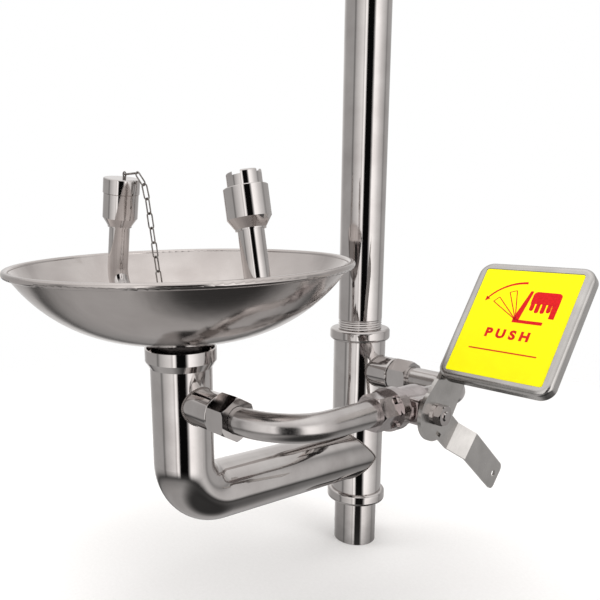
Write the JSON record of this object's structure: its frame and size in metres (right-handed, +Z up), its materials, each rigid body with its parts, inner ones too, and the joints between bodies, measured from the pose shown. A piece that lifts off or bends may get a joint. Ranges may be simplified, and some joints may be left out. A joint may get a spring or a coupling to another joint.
{
  "type": "eyewash station",
  "caption": "Column-mounted eyewash module: round dished bowl, two spray heads, one dust cap on a chain, elbow drain, ball valve worked by a push tray or pull strap.",
  "frame": {"origin": "centre of the lower pipe's end, on the column's axis", "axes": "+X to the user's right, +Y from the user towards the column, +Z up along the column"},
  "size_m": [0.3597, 0.3902, 0.562],
  "materials": {
    "polished_stainless": "mirror-polished 304 stainless steel",
    "brushed_stainless": "satin 304 stainless sheet, spun",
    "dark_stainless": "machined stainless steel",
    "cast_stainless": "investment-cast stainless steel, tumbled",
    "satin_sheet": "satin stainless sheet, pressed and folded",
    "fastener_steel": "machined stainless fasteners",
    "chain_steel": "welded stainless chain",
    "seal_rubber": "black EPDM rubber",
    "white_ptfe": "white PTFE",
    "yellow_label": "printed yellow vinyl label"
  },
  "bodies": {
    "root": {"upper_pipe": "polished_stainless", "lower_pipe": "polished_stainless", "column_sleeve": "polished_stainless", "partition_plug": "brushed_stainless", "column_union_socket": "polished_stainless", "column_union_washer": "seal_rubber", "column_union_nut": "polished_stainless", "supply_bend_tube": "polished_stainless", "valve_body": "cast_stainless", "valve_end_fitting": "cast_stainless", "valve_flange_screws": "fastener_steel", "valve_seat_rings": "white_ptfe", "valve_packing": "white_ptfe", "valve_gland_nut": "fastener_steel", "supply_arc_tube": "polished_stainless", "bowl_union_socket": "polished_stainless", "bowl_union_washer": "seal_rubber", "bowl_union_nut": "polished_stainless", "drain_arm": "polished_stainless", "drain_elbow": "polished_stainless", "bowl_column": "polished_stainless", "riser_pipe": "polished_stainless", "drain_adapter": "dark_stainless", "bowl_seal": "seal_rubber", "bowl": "brushed_stainless", "drain_strainer": "brushed_stainless", "nozzle_hub": "polished_stainless", "left_nozzle_tube": "polished_stainless", "right_nozzle_tube": "polished_stainless", "left_spray_cup": "polished_stainless", "right_spray_cup": "polished_stainless", "left_spray_insert": "polished_stainless", "right_spray_insert": "polished_stainless", "left_filter_disc": "brushed_stainless", "right_filter_disc": "brushed_stainless", "dust_cap_chain": "chain_steel", "chain_anchor": "chain_steel"},
    "push_lever": {"valve_ball": "polished_stainless", "valve_stem": "fastener_steel", "lever_plate": "satin_sheet", "lever_washer": "fastener_steel", "lever_nut": "fastener_steel", "pedal_arm": "satin_sheet", "push_tray": "satin_sheet", "push_label": "yellow_label", "tray_rivets": "fastener_steel"},
    "left_cap": {"left_dust_cap": "polished_stainless", "cap_chain_eye": "chain_steel"}
  },
  "joints": [
    {"name": "push_lever_turn", "type": "hinge", "parent": "root", "child": "push_lever", "pos_m": [0.115, -0.08948, 0.19405], "axis": [-1, 0, 0], "range_deg": [0, 90]},
    {"name": "left_dust_cap_lift", "type": "slide", "parent": "root", "child": "left_cap", "axis": [0.1805, 0, 0.9836], "range_m": [0, 0.02], "deforming": ["dust_cap_chain"]}
  ]
}
